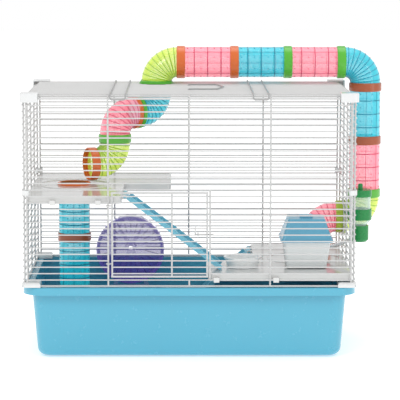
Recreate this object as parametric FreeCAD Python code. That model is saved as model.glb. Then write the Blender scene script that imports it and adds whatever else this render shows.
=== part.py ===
import FreeCAD, Part
import math
import os
from FreeCAD import Placement, Rotation, Vector

# Two-level wire cage for a hamster, standing in a deep plastic tray, with clip-together tubes.
# Millimetres. +X is to the right of the front, +Y to the back, +Z up.
# The origin is under the middle of the tray, on the surface that the tray stands on.

# ---- Tray ----
tray_length = 590.0
tray_depth = 360.0
tray_height = 130.0
tray_wall = 2.5
tray_rim_width = 15.0
tray_rim_skirt = 14.0
tray_rim_edge_round = 2.0
tray_wall_lean = 10.0
tray_corner_radius = 40.0
tray_bottom_round = 14.0
tray_foot_height = 2.0
tray_foot_inset = 22.0

# ---- Wire walls ----
post_wire = 3.2
rail_wire = 3.6
rail_past_post = 2.0
row_wire = 2.2
weld_depth = 0.5
hoop_wire = 3.0
rim_to_wire_edge = 7.0
wall_height = 335.0
wall_stands_clear = 0.3
row_gaps = 29
posts_per_wall = 5
corner_post_setback = 5.0
wire_rest_gap = 0.1

# ---- Front door ----
door_hinge_post = 1
door_bottom_row = 1
door_top_row = 15
door_opening_width = 179.0
door_hinge_offset = 7.0
door_side_gap = 5.0
door_extra_post = 105.0
door_eye_rows = (3, 12)
door_latch_row = 8
eye_wire = 2.2
eye_clearance = 0.3

# ---- Latch bolt ----
bolt_wire = 2.6
bolt_reach = 6.0
bolt_length = 32.0
bolt_gap = 1.4
bolt_tab_reach = 12.0
bolt_tab_height = 10.0
bolt_bend = 2.6
bolt_guide_wire = 2.0

# ---- Roof ----
roof_rail_setback = 8.0
roof_row_pitch = 11.0

# ---- Carrying handle and roof clasps ----
handle_wire = 2.6
handle_width = 110.0
handle_reach = 50.0
handle_peak = 63.0
handle_shift = -5.0
handle_bend = 6.0
clasp_wire = 2.4
clasp_width = 27.0
clasp_outer_leg = 138.5
clasp_drop = 10.0
clasp_bend = 4.0
lies_clear = 0.3

# ---- Corner fittings ----
cap_reach = 32.0
cap_height = 16.0
cap_wall = 2.6
cap_round = 10.0
cap_gap = 0.3
wall_clip_row = 14
wall_clip_round = 4.6
wall_clip_bore_gap = 0.1
foot_reach = 34.0
foot_height = 9.0
foot_gap = 0.15

# ---- Shelves ----
shelf_long = 254.0
shelf_short = 168.0
shelf_split = 34.0
shelf_wall_gap = 1.4
shelf_height = 13.5
shelf_skin = 2.5
shelf_edge = 1.5
shelf_corner = 8.0
shelf_above_row = 11.0
upper_shelf_row = 13
lower_shelf_row = 1
shelf_bead_radius = 66.0
shelf_bead = 2.4
hook_width = 10.0
hook_thickness = 3.0
hook_lip = 2.0
hook_gap = 0.15
hook_drop = 3.0
hook_from_inner_end = (15.0, 120.0)
hook_from_outer_wall = (127.0, 47.0)

# ---- Ramps ----
ramp_length = 214.0
ramp_width = 56.0
ramp_plate = 3.0
ramp_rail_width = 4.0
ramp_rail_height = 8.0
ramp_tread_pitch = 15.0
ramp_tread_width = 3.0
ramp_tread_height = 1.6
ramp_from_wall = 52.0
ramp_barrel = 8.0
ramp_pin = 5.0
ramp_pin_gap = 0.08
ramp_ear = 4.0
ramp_side_gap = 0.5
ramp_end_gap = 1.5

# ---- Tubes ----
tube_outer = 56.0
tube_wall = 2.0
tube_pitch = 100.0
tube_bend = 38.0
tube_stub = 8.0
tube_rib = 1.2
tube_rib_width = 1.6
tube_ribs = 3
ring_outer = 61.0
ring_bevel = 1.5
ring_fit = 0.15
ring_shoulder = 2.0
ring_end_gap = 0.2
ring_seat_depth = 4.5
ring_seat_wall = 2.5
flange_lip = 1.7
flange_lip_height = 2.0
flange_extra = 4.0
flange_flare = 1.0
hole_gap = 0.3

# ---- Where the tubes run ----
tube_line_y = 104.0
roof_ring_drop = 6.4
side_ring_inset = 5.0
drop_swing_deg = 34.0
mouth_swing_deg = 22.0
column_x = -211.0
column_y = 1.0

# ---- Wheel ----
wheel_x = -111.0
wheel_axle_z = 153.0
wheel_radius = 64.5
wheel_back_radius = 62.0
wheel_width = 46.0
wheel_skin = 2.0
wheel_lip = 5.0
wheel_ribs = 24
wheel_rib_width = 1.4
wheel_rib_height = 1.2
wheel_rib_start = 16.0
wheel_rib_end_gap = 2.0
wheel_hub_radius = 11.0
wheel_hub_length = 18.0
spindle = 8.0
spindle_fit = 0.06
spindle_proud = 3.0
bracket_plate = 4.0
bracket_bar = 7.0
bracket_gap = 3.0
bracket_tray_gap = 0.5
bracket_arch = 25.0
bracket_arch_bar = 5.5
bracket_arch_rise = 34.0
bracket_leg_drop = 78.0
bracket_leg_spread = 32.0

# ---- Hut ----
hut_x = 210.0
hut_y = -86.0
hut_bottom = (71.0, 72.0)
hut_top = (84.5, 84.0)
hut_height = 47.0
hut_wall = 2.2
hut_door_width = 36.0
hut_door_height = 34.0
roof_eave = (94.0, 93.0)
roof_ridge = (65.0, 62.0)
roof_eave_height = 4.0
roof_height = 40.0
roof_gap = 0.3
roof_plug = 3.0
chimney_size = (23.0, 20.0)
chimney_height = 4.0

# ---- Bowl ----
bowl_x = 96.0
bowl_y = -98.0
bowl_outer = 68.0
bowl_base = 56.0
bowl_height = 19.0
bowl_wall = 2.2

# ---- Water bottle ----
bottle_y = 15.0
bottle_radius = 19.0
bottle_wall_gap = 2.0
bottle_top_z = 278.5
bottle_body_length = 64.5
bottle_wall = 1.2
top_cap_height = 12.0
knob_radius = 4.5
knob_height = 11.0
neck_cap_height = 30.0
neck_cap_wall = 1.5
neck_cap_gap = 0.3
bottle_spout = 7.0
spout_wall = 0.7
spout_length = 50.0
spout_slope_deg = 20.0
spout_row = 4
spout_socket_length = 12.0
spout_socket_wall = 2.0
spout_tip_length = 2.0
spout_tip_bore = 4.2
ball_diameter = 5.2
band_height = 20.0
band_thickness = 2.0
band_row = 9

# ---- Sizes that follow from the above ----
cage_length = tray_length - 2 * rim_to_wire_edge + 4.0
cage_depth = tray_depth - 2 * rim_to_wire_edge
wall_x = cage_length / 2
wall_y = cage_depth / 2
post_r = post_wire / 2
row_r = row_wire / 2
row_out = post_r + row_r - weld_depth
rail_r = rail_wire / 2
bottom_rail_z = tray_height + wall_stands_clear + rail_r
top_rail_z = tray_height + wall_height - rail_r
row_pitch = (top_rail_z - bottom_rail_z) / row_gaps
row_gap_middle = row_pitch / 2
wire_face = row_out + row_r
roof_rail_z = top_rail_z + rail_r + post_r + wire_rest_gap
roof_row_z = roof_rail_z + row_out
roof_top_z = roof_row_z + row_r
tube_r = tube_outer / 2
tube_inner_r = tube_r - tube_wall
ring_r = ring_outer / 2
ring_half = tube_stub
elbow_corner = tube_bend + tube_stub
hole_wire_r = ring_r + hole_gap + hoop_wire / 2
hoop_graze = post_r + row_r
hoop_out = 0.6 * row_out
eye_r = post_r + eye_clearance + eye_wire / 2
tray_floor_z = tray_foot_height + tray_wall

X = Vector(1, 0, 0)
Y = Vector(0, 1, 0)
Z = Vector(0, 0, 1)

parts = {}


# ---- Small helpers ----
def row_z(row):
    """Height of a horizontal wall wire, counted up from the bottom rail."""
    return bottom_rail_z + row * row_pitch


def joined(shapes):
    """One solid from pieces that are welded or moulded together."""
    return shapes[0].multiFuse(shapes[1:])


def rod(start, end, diameter):
    """A straight round wire or pin."""
    run = end - start
    return Part.makeCylinder(diameter / 2, run.Length, start, run)


def knuckle(at, diameter):
    """The rounded corner where two wire ends meet."""
    return Part.makeSphere(diameter / 2, at)


def eye(centre, axis, wire=eye_wire, radius=eye_r):
    """A wire end curled right round another wire."""
    return Part.makeTorus(radius, wire / 2, centre, axis)


def bent_path(points, bend):
    """Straight runs joined by tangent arcs."""
    edges = []
    start = points[0]
    for before, corner, after in zip(points, points[1:], points[2:]):
        incoming = (corner - before).normalize()
        outgoing = (after - corner).normalize()
        half_turn = incoming.getAngle(outgoing) / 2
        cut = bend * math.tan(half_turn)
        arc_start = corner - incoming * cut
        arc_end = corner + outgoing * cut
        centre = corner + (outgoing - incoming).normalize() * (bend / math.cos(half_turn))
        middle = centre + (corner - centre).normalize() * bend
        edges.append(Part.LineSegment(start, arc_start).toShape())
        edges.append(Part.Arc(arc_start, middle, arc_end).toShape())
        start = arc_end
    edges.append(Part.LineSegment(start, points[-1]).toShape())
    return Part.Wire(edges)


def bent_wire(points, diameter, bend):
    """A round wire bent along straight runs and arcs."""
    heading = points[1] - points[0]
    section = Part.Wire([Part.makeCircle(diameter / 2, points[0], heading)])
    return bent_path(points, bend).makePipeShell([section], True, False)


def box(low, high):
    """A block between two opposite corners."""
    size = high - low
    return Part.makeBox(size.x, size.y, size.z, low)


def turned(outline):
    """A solid turned about Z from (radius, height) points."""
    points = [Vector(radius, 0, height) for radius, height in outline]
    face = Part.Face(Part.makePolygon(points + [points[0]]))
    return face.revolve(Vector(0, 0, 0), Z, 360)


def placed(shape, origin, direction):
    """A shape made along +Z, moved to an origin and turned to a direction."""
    copy = shape.copy()
    copy.Placement = Placement(origin, Rotation(Z, direction))
    return copy


def rounded_outline(length, depth, radius, height):
    """A rectangle with round corners about the Z axis, at a height."""
    x = length / 2
    y = depth / 2
    slant = radius * math.sqrt(0.5)
    edges = []
    for side_x, side_y, turn in ((1, 1, 0), (-1, 1, 90), (-1, -1, 180), (1, -1, 270)):
        centre = Vector(side_x * (x - radius), side_y * (y - radius), height)
        start = centre + Vector(radius, 0, 0)
        middle = centre + Vector(slant, slant, 0)
        end = centre + Vector(0, radius, 0)
        arc = Part.Arc(start, middle, end).toShape()
        arc.rotate(centre, Z, turn)
        edges.append(arc)
    closed = []
    for arc, following in zip(edges, edges[1:] + edges[:1]):
        closed.append(arc)
        line = Part.LineSegment(arc.Vertexes[-1].Point, following.Vertexes[0].Point)
        closed.append(line.toShape())
    return Part.Wire(closed)


def rounded_block(length, depth, radius, low, high):
    """An upright block with round corners about the Z axis."""
    face = Part.Face(rounded_outline(length, depth, radius, low))
    return face.extrude(Vector(0, 0, high - low))


def lofted(low_size, high_size, low, high, low_radius, high_radius):
    """A straight-sided loft between two rounded rectangles."""
    bottom = rounded_outline(low_size[0], low_size[1], low_radius, low)
    top = rounded_outline(high_size[0], high_size[1], high_radius, high)
    return Part.makeLoft([bottom, top], True, True)


def edges_at(shape, height):
    """The edges that lie level at a height."""
    found = []
    for edge in shape.Edges:
        bounds = edge.BoundBox
        if abs(bounds.ZMin - height) < 0.01 and abs(bounds.ZMax - height) < 0.01:
            found.append(edge)
    return found


def spans(low, high, gaps):
    """The stretches of low..high that the gaps leave."""
    left = [(low, high)]
    for gap_low, gap_high in gaps:
        kept = []
        for start, end in left:
            if gap_high <= start or gap_low >= end:
                kept.append((start, end))
                continue
            if gap_low > start:
                kept.append((start, gap_low))
            if gap_high < end:
                kept.append((gap_high, end))
        left = kept
    return left


def chord(centre_along, distance, radius, graze):
    """The gap that a hoop makes in a wire at a distance from its centre.

    A wire that would only graze the hoop's wire stops short of it instead.
    """
    reach = radius
    if abs(distance) > radius - graze:
        reach = radius + graze
    if abs(distance) >= reach:
        return []
    half = math.sqrt(reach * reach - distance * distance)
    return [(centre_along - half, centre_along + half)]


def evenly(low, high, count):
    """Evenly spaced places from low to high."""
    step = (high - low) / (count - 1)
    return [low + step * index for index in range(count)]


# ---- Tray ----
def tray_tub(inset, floor_z, top_z, bottom_round):
    """The tapering body of the tray, drawn in from its outside by an inset."""
    top_size = (tray_length - 2 * tray_rim_width, tray_depth - 2 * tray_rim_width)
    lean_per_height = tray_wall_lean / (tray_height - tray_foot_height)
    corner = tray_corner_radius - tray_rim_width
    sizes = []
    for height in (floor_z, top_z):
        draw_in = inset + lean_per_height * (tray_height - height)
        sizes.append((top_size[0] - 2 * draw_in, top_size[1] - 2 * draw_in))
    tub = lofted(sizes[0], sizes[1], floor_z, top_z, corner, corner)
    return tub.makeFillet(bottom_round, edges_at(tub, floor_z))


def base_tray():
    """Deep tub with an outward rim, a hanging skirt and a shallow foot."""
    inner_length = tray_length - 2 * tray_wall
    inner_depth = tray_depth - 2 * tray_wall
    skirt_low = tray_height - tray_rim_skirt
    rim = rounded_block(tray_length, tray_depth, tray_corner_radius, skirt_low, tray_height)
    rim = rim.makeFillet(tray_rim_edge_round, edges_at(rim, tray_height))
    under = rounded_block(inner_length, inner_depth, tray_corner_radius - tray_wall,
                          skirt_low, tray_height - tray_wall)
    rim = rim.cut(under)
    body = tray_tub(0, tray_foot_height, tray_height, tray_bottom_round)
    foot_shrink = 2 * (tray_rim_width + tray_wall_lean + tray_foot_inset)
    foot = rounded_block(tray_length - foot_shrink, tray_depth - foot_shrink,
                         tray_corner_radius - tray_rim_width, 0, tray_foot_height + tray_wall)
    hollow = tray_tub(tray_wall, tray_floor_z, tray_height + 1, tray_bottom_round - tray_wall)
    return joined([rim, body, foot]).cut(hollow)


# ---- Wire walls ----
def wall_grid(point, half_width, posts, row_levels, hole=None, row_cuts=None, post_cuts=None):
    """A welded wall of posts, two rails and rows of thinner wires outside them.

    point(along, out, up) places a wire; hole is (along, up, radius) for a round opening.
    row_cuts and post_cuts hold the gaps of a square opening, by row level and by post.
    """
    pieces = []
    row_cuts = row_cuts or {}
    post_cuts = post_cuts or {}
    for along in posts:
        gaps = list(post_cuts.get(along, []))
        if hole:
            gaps += chord(hole[1], along - hole[0], hole[2], post_wire)
        for low, high in spans(bottom_rail_z, top_rail_z, gaps):
            pieces.append(rod(point(along, 0, low), point(along, 0, high), post_wire))
    rail_end = half_width + rail_past_post
    for level in (bottom_rail_z, top_rail_z):
        pieces.append(rod(point(-rail_end, 0, level), point(rail_end, 0, level), rail_wire))
    reach = half_width + post_r
    for level in row_levels:
        gaps = list(row_cuts.get(level, []))
        if hole:
            gaps += chord(hole[0], level - hole[1], hole[2], hoop_graze)
        for low, high in spans(-reach, reach, gaps):
            pieces.append(rod(point(low, row_out, level), point(high, row_out, level), row_wire))
    if hole:
        centre = point(hole[0], hoop_out, hole[1])
        facing = point(0, 1, 0) - point(0, 0, 0)
        pieces.append(eye(centre, facing, hoop_wire, hole[2]))
    return pieces


def front_point(along, out, up):
    return Vector(along, -wall_y - out, up)


def back_point(along, out, up):
    return Vector(along, wall_y + out, up)


def left_point(along, out, up):
    return Vector(-wall_x - out, along, up)


def right_point(along, out, up):
    return Vector(wall_x + out, along, up)


all_rows = [row_z(row) for row in range(1, row_gaps)]
long_half = wall_x - corner_post_setback
short_half = wall_y - corner_post_setback
long_posts = evenly(-long_half, long_half, posts_per_wall)
short_posts = evenly(-short_half, short_half, posts_per_wall)

# The door opening lies between two rows, from the hinge post to a post of its own.
door_left_x = long_posts[door_hinge_post]
door_right_x = door_left_x + door_opening_width
door_low_z = row_z(door_bottom_row)
door_high_z = row_z(door_top_row)


def front_panel():
    """Front wall with the door opening."""
    rows_in_opening = all_rows[door_bottom_row:door_top_row - 1]
    row_cuts = {level: [(door_left_x, door_right_x)] for level in rows_in_opening}
    post_cuts = {along: [(door_low_z, door_high_z)]
                 for along in long_posts if door_left_x < along < door_right_x}
    pieces = wall_grid(front_point, long_half, long_posts, all_rows, None, row_cuts, post_cuts)
    pieces.append(rod(front_point(door_right_x, 0, door_low_z),
                      front_point(door_right_x, 0, door_high_z), post_wire))
    return joined(pieces)


def back_panel():
    """Plain back wall."""
    return joined(wall_grid(back_point, long_half, long_posts, all_rows))


def left_panel():
    """Plain left wall."""
    return joined(wall_grid(left_point, short_half, short_posts, all_rows))


# ---- Tube levels, set by the roof and the side opening ----
top_run_tubes = 3
side_run_tubes = 2
roof_ring_z = roof_top_z - roof_ring_drop
side_ring_x = wall_x - side_ring_inset
roof_hole_x = side_ring_x - elbow_corner - top_run_tubes * tube_pitch
side_hole_z = roof_ring_z - elbow_corner - side_run_tubes * tube_pitch


def right_panel():
    """Right wall with the round opening for the outside tubes."""
    hole = (tube_line_y, side_hole_z, hole_wire_r)
    return joined(wall_grid(right_point, short_half, short_posts, all_rows, hole))


def roof_panel():
    """Roof of cross wires on lengthwise wires that rest on the walls' top rails."""
    pieces = []
    rail_y = wall_y - roof_rail_setback
    rest_y = wall_y + post_r
    side_x = long_half - post_wire - wire_rest_gap
    along_x = [-side_x] + long_posts[1:-1] + [side_x]
    for x in along_x:
        gaps = chord(tube_line_y, x - roof_hole_x, hole_wire_r, post_wire)
        for low, high in spans(-rest_y, rest_y, gaps):
            pieces.append(rod(Vector(x, low, roof_rail_z), Vector(x, high, roof_rail_z), post_wire))
    rail_end = side_x + rail_past_post
    for y in (-rail_y, rail_y):
        pieces.append(rod(Vector(-rail_end, y, roof_rail_z), Vector(rail_end, y, roof_rail_z), rail_wire))
    row_count = int(2 * rail_y / roof_row_pitch)
    reach = side_x + post_r
    for y in evenly(-rail_y, rail_y, row_count + 1)[1:-1]:
        gaps = chord(roof_hole_x, y - tube_line_y, hole_wire_r, hoop_graze)
        for low, high in spans(-reach, reach, gaps):
            pieces.append(rod(Vector(low, y, roof_row_z), Vector(high, y, roof_row_z), row_wire))
    centre = Vector(roof_hole_x, tube_line_y, roof_rail_z + hoop_out)
    pieces.append(eye(centre, Z, hoop_wire, hole_wire_r))
    return joined(pieces)


# ---- Front door and its latch ----
door_hinge_x = door_left_x + door_hinge_offset
door_free_x = door_right_x - door_side_gap
bolt_y = -wall_y + post_r + bolt_gap + bolt_wire / 2


def front_door():
    """Door grille hung by two eyes on a wall post, with guide eyes for the bolt."""
    low = door_low_z + row_gap_middle
    high = door_high_z - row_gap_middle
    pieces = []
    posts = (door_hinge_x, door_hinge_x + door_extra_post, door_free_x)
    for x in posts:
        pieces.append(rod(front_point(x, 0, low), front_point(x, 0, high), post_wire))
    for level in (low, high):
        pieces.append(rod(front_point(door_hinge_x - rail_past_post, 0, level),
                          front_point(door_free_x + rail_past_post, 0, level), rail_wire))
    for level in all_rows[door_bottom_row:door_top_row - 1]:
        pieces.append(rod(front_point(door_hinge_x, row_out, level),
                          front_point(door_free_x + post_r, row_out, level), row_wire))
    for row in door_eye_rows:
        level = row_z(row) + row_gap_middle
        pieces.append(eye(front_point(door_left_x, 0, level), Z))
        pieces.append(rod(front_point(door_left_x + eye_r, 0, level),
                          front_point(door_hinge_x, 0, level), eye_wire))
    guide_r = bolt_wire / 2 + eye_clearance + bolt_guide_wire / 2
    latch_z = row_z(door_latch_row)
    for x in (door_free_x, door_free_x - bolt_length / 2):
        pieces.append(eye(Vector(x, bolt_y, latch_z), X, bolt_guide_wire, guide_r))
    guide_x = door_free_x - bolt_length / 2
    pieces.append(rod(Vector(guide_x, bolt_y - guide_r, latch_z),
                      front_point(guide_x, row_out, latch_z), bolt_guide_wire))
    return joined(pieces)


def door_latch():
    """Sliding bolt of bent wire, with a finger tab that comes out between two door wires."""
    latch_z = row_z(door_latch_row)
    tab_z = latch_z + row_gap_middle
    tip_x = door_right_x + bolt_reach
    tail_x = tip_x - bolt_length
    out_y = -wall_y - bolt_tab_reach
    points = [Vector(tip_x, bolt_y, latch_z), Vector(tail_x, bolt_y, latch_z),
              Vector(tail_x, bolt_y, tab_z), Vector(tail_x, out_y, tab_z),
              Vector(tail_x, out_y, tab_z + bolt_tab_height)]
    return bent_wire(points, bolt_wire, bolt_bend)


# ---- Handle and clasps on the roof ----
def carry_handle():
    """Peaked wire bail that hinges on the roof's middle wire and lies flat."""
    lie_z = roof_top_z + lies_clear + handle_wire / 2
    near = handle_shift - handle_width / 2
    far = handle_shift + handle_width / 2
    radius = post_r + eye_clearance + handle_wire / 2
    points = [Vector(0, near, lie_z), Vector(handle_reach, near, lie_z),
              Vector(handle_peak, handle_shift, lie_z), Vector(handle_reach, far, lie_z),
              Vector(0, far, lie_z)]
    pieces = [bent_wire(points, handle_wire, handle_bend)]
    for y in (near, far):
        pieces.append(eye(Vector(0, y, roof_rail_z), Y, handle_wire, radius))
        pieces.append(rod(Vector(0, y, roof_rail_z + radius), Vector(0, y, lie_z), handle_wire))
        pieces.append(knuckle(Vector(0, y, lie_z), handle_wire))
    return joined(pieces)


def roof_clasp(side):
    """Long wire loop hinged at the roof's back rail that snaps down over the front rail."""
    lie_z = roof_top_z + lies_clear + clasp_wire / 2
    front_y = -(wall_y + wire_face + lies_clear + clasp_wire / 2)
    rail_y = wall_y - roof_rail_setback
    radius = rail_r + eye_clearance + clasp_wire / 2
    legs = (side * clasp_outer_leg, side * (clasp_outer_leg - clasp_width))
    low_z = lie_z - clasp_drop
    points = [Vector(legs[0], rail_y, lie_z), Vector(legs[0], front_y, lie_z),
              Vector(legs[0], front_y, low_z), Vector(legs[1], front_y, low_z),
              Vector(legs[1], front_y, lie_z), Vector(legs[1], rail_y, lie_z)]
    pieces = [bent_wire(points, clasp_wire, clasp_bend)]
    for x in legs:
        pieces.append(eye(Vector(x, rail_y, roof_rail_z), X, clasp_wire, radius))
        pieces.append(rod(Vector(x, rail_y, roof_rail_z + radius), Vector(x, rail_y, lie_z), clasp_wire))
        pieces.append(knuckle(Vector(x, rail_y, lie_z), clasp_wire))
    return joined(pieces)


# ---- Corner fittings ----
corner_signs = ((-1, -1), (1, -1), (1, 1), (-1, 1))


def at_corner(shape, sign_x, sign_y):
    """A piece made for the corner at +X, +Y, mirrored to another corner."""
    copy = shape.copy()
    if sign_x < 0:
        copy = copy.mirror(Vector(0, 0, 0), X)
    if sign_y < 0:
        copy = copy.mirror(Vector(0, 0, 0), Y)
    return copy


def corner_block(reach, outer_x, outer_y, low, high, radius):
    """A block at the +X, +Y corner with its outer upright edge rounded."""
    block = box(Vector(outer_x - reach, outer_y - reach, low), Vector(outer_x, outer_y, high))
    outer_edges = []
    for edge in block.Edges:
        middle = edge.BoundBox.Center
        if abs(middle.x - outer_x) < 0.01 and abs(middle.y - outer_y) < 0.01:
            outer_edges.append(edge)
    return block.makeFillet(radius, outer_edges)


def corner_caps():
    """Four moulded caps that cover the upper corners, open below and inwards."""
    face_x = wall_x + wire_face + cap_gap
    face_y = wall_y + wire_face + cap_gap
    under = roof_top_z + cap_gap
    top = under + cap_wall
    low = top - cap_height
    skin = corner_block(cap_reach, face_x + cap_wall, face_y + cap_wall, low, top, cap_round)
    skin = skin.makeFillet(cap_wall * 0.7, edges_at(skin, top))
    inside = corner_block(cap_reach, face_x, face_y, low, under, cap_round - cap_wall)
    open_side = inside.copy()
    open_side.translate(Vector(-cap_wall, -cap_wall, 0))
    cap = skin.cut(joined([inside, open_side]))
    return Part.Compound([at_corner(cap, *signs) for signs in corner_signs])


def wall_clips():
    """Four small clips that each hold two corner posts together."""
    low = row_z(wall_clip_row) + row_r + hook_gap
    height = row_pitch - row_wire - 2 * hook_gap
    first = Vector(long_half, wall_y, low)
    second = Vector(wall_x, short_half, low)
    ends = [Part.makeCylinder(wall_clip_round, height, at, Z) for at in (first, second)]
    across = (second - first).normalize()
    side = across.cross(Z) * wall_clip_round
    outline = [first + side, second + side, second - side, first - side, first + side]
    web = Part.Face(Part.makePolygon(outline)).extrude(Z * height)
    clip = joined(ends + [web])
    for at in (first, second):
        clip = clip.cut(Part.makeCylinder(post_r + wall_clip_bore_gap, height, at, Z))
    return Part.Compound([at_corner(clip, *signs) for signs in corner_signs])


def corner_feet():
    """Four moulded feet that hold the walls' lower corners down on the tray's rim."""
    outer_x = wall_x + wire_face + cap_wall
    outer_y = wall_y + wire_face + cap_wall
    low = tray_height + foot_gap
    high = tray_height + foot_height
    foot = corner_block(foot_reach, outer_x, outer_y, low, high, cap_round)
    foot = foot.makeFillet(foot_height * 0.6, edges_at(foot, high))
    ceiling = bottom_rail_z + rail_r + foot_gap
    slot_in_y = wall_y - rail_r - foot_gap
    slot_in_x = wall_x - rail_r - foot_gap
    slot_out_y = wall_y + wire_face + foot_gap
    slot_out_x = wall_x + wire_face + foot_gap
    far = foot_reach * 2
    slots = [box(Vector(outer_x - far, slot_in_y, low - 1), Vector(slot_out_x, slot_out_y, ceiling)),
             box(Vector(slot_in_x, outer_y - far, low - 1), Vector(slot_out_x, slot_out_y, ceiling))]
    for at in (Vector(long_half, wall_y, low), Vector(wall_x, short_half, low)):
        slots.append(Part.makeCylinder(post_r + foot_gap, foot_height * 2, at, Z))
    return Part.Compound([at_corner(foot.cut(joined(slots)), *signs) for signs in corner_signs])


# ---- Shelves ----
shelf_outer_x = -(wall_x - post_r - shelf_wall_gap)
shelf_back_y = wall_y - post_r - shelf_wall_gap
shelf_long_end = shelf_outer_x + shelf_long
shelf_short_end = shelf_outer_x + shelf_short
ramp_pivot_x = shelf_short_end + ramp_barrel / 2 + 1.0
ramp_mid_y = -shelf_back_y + ramp_from_wall
upper_shelf_z = row_z(upper_shelf_row) + shelf_above_row
lower_shelf_z = row_z(lower_shelf_row) + shelf_above_row


def shelf_outline(inset):
    """The L of a shelf, long side at the back, drawn in by an inset."""
    left = shelf_outer_x + inset
    front = -shelf_back_y + inset
    back = shelf_back_y - inset
    step = shelf_split + inset
    corners = [(left, front), (shelf_short_end - inset, front), (shelf_short_end - inset, step),
               (shelf_long_end - inset, step), (shelf_long_end - inset, back), (left, back)]
    points = [Vector(x, y, 0) for x, y in corners]
    return Part.Face(Part.makePolygon(points + [points[0]]))


def wall_hook(x, edge_y, wire_y, wire_z):
    """A lug from a shelf or bracket out over a wall wire, with a lip behind the wire."""
    outward = 1 if wire_y > 0 else -1
    wire_out = outward * (abs(wire_y) + row_r + hook_gap)
    tip = wire_out + outward * hook_lip
    low = wire_z + row_r + hook_gap
    half = hook_width / 2

    def slab(y_from, y_to, z_from, z_to):
        return box(Vector(x - half, min(y_from, y_to), z_from),
                   Vector(x + half, max(y_from, y_to), z_to))
    return joined([slab(edge_y, tip, low, low + hook_thickness),
                   slab(wire_out, tip, wire_z - row_r - hook_drop, low + hook_thickness)])


def shelf(top_z, wall_row, tube_hole, turned_round):
    """Moulded L-shaped shelf with a skirt, wall hooks and two ears for the ramp."""
    slab = shelf_outline(0).extrude(Z * shelf_height)
    upright = [edge for edge in slab.Edges if edge.BoundBox.ZLength > shelf_height / 2]
    slab = slab.makeFillet(shelf_corner, upright)
    slab = slab.makeFillet(shelf_edge, edges_at(slab, shelf_height))
    pocket = shelf_outline(shelf_skin).extrude(Z * (shelf_height - shelf_skin))
    slab = slab.cut(pocket)
    bead = Part.makeTorus(shelf_bead_radius, shelf_bead / 2,
                          Vector(column_x, column_y, shelf_height), Z)
    slab = slab.fuse(bead)
    if tube_hole:
        seat_r = ring_r + hole_gap
        boss = Part.makeCylinder(seat_r + ring_seat_wall, shelf_height - shelf_edge,
                                 Vector(column_x, column_y, 0), Z)
        slab = slab.fuse(boss)
        bore = Part.makeCylinder(tube_r + hole_gap, shelf_height * 2, Vector(column_x, column_y, -1), Z)
        seat = Part.makeCylinder(seat_r, ring_seat_depth * 2,
                                 Vector(column_x, column_y, shelf_height - ring_seat_depth), Z)
        slab = slab.cut(bore).cut(seat)
    slab.translate(Z * (top_z - shelf_height))
    pieces = [slab]
    wire_z = row_z(wall_row)
    for from_end in hook_from_inner_end:
        pieces.append(wall_hook(shelf_long_end - from_end, shelf_back_y - shelf_skin / 2,
                                wall_y + row_out, wire_z))
    for from_wall in hook_from_outer_wall:
        pieces.append(wall_hook(shelf_outer_x + from_wall, -shelf_back_y + shelf_skin / 2,
                                -wall_y - row_out, wire_z))
    solid = joined(pieces + shelf_ears(top_z))
    solid = solid.cut(ramp_pin_bore(top_z))
    if turned_round:
        solid.rotate(Vector(0, 0, 0), Z, 180)
    return solid


def ramp_pivot_z(top_z):
    """Height of a ramp's hinge pin, level with its shelf's top when the barrel is."""
    return top_z - ramp_barrel / 2


def shelf_ears(top_z):
    """Two ears on the shelf's edge, one each side of the ramp."""
    ears = []
    pivot_z = ramp_pivot_z(top_z)
    half = ramp_width / 2 + ramp_side_gap
    for low_y in (ramp_mid_y - half - ramp_ear, ramp_mid_y + half):
        root = box(Vector(shelf_short_end - shelf_skin / 2, low_y, pivot_z - ramp_barrel / 2),
                   Vector(ramp_pivot_x, low_y + ramp_ear, pivot_z + ramp_barrel / 2))
        nose = Part.makeCylinder(ramp_barrel / 2, ramp_ear, Vector(ramp_pivot_x, low_y, pivot_z), Y)
        ears.append(joined([root, nose]))
    return ears


def ramp_pin_bore(top_z):
    """The hole through both ears for the ramp's pin."""
    long_bore = ramp_width + 2 * (ramp_ear + ramp_side_gap) + 2
    start = Vector(ramp_pivot_x, ramp_mid_y - long_bore / 2, ramp_pivot_z(top_z))
    return Part.makeCylinder(ramp_pin / 2 + ramp_pin_gap, long_bore, start, Y)


# ---- Ramps ----
def ramp_angle(top_z, landing_z):
    """Slope that brings the ramp's lower edge just clear of what it lands on."""
    drop = ramp_pivot_z(top_z) - landing_z - ramp_end_gap
    half_plate = ramp_plate / 2
    reach = math.hypot(ramp_length, half_plate)
    return math.degrees(math.asin(drop / reach) - math.atan2(half_plate, ramp_length))


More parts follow.
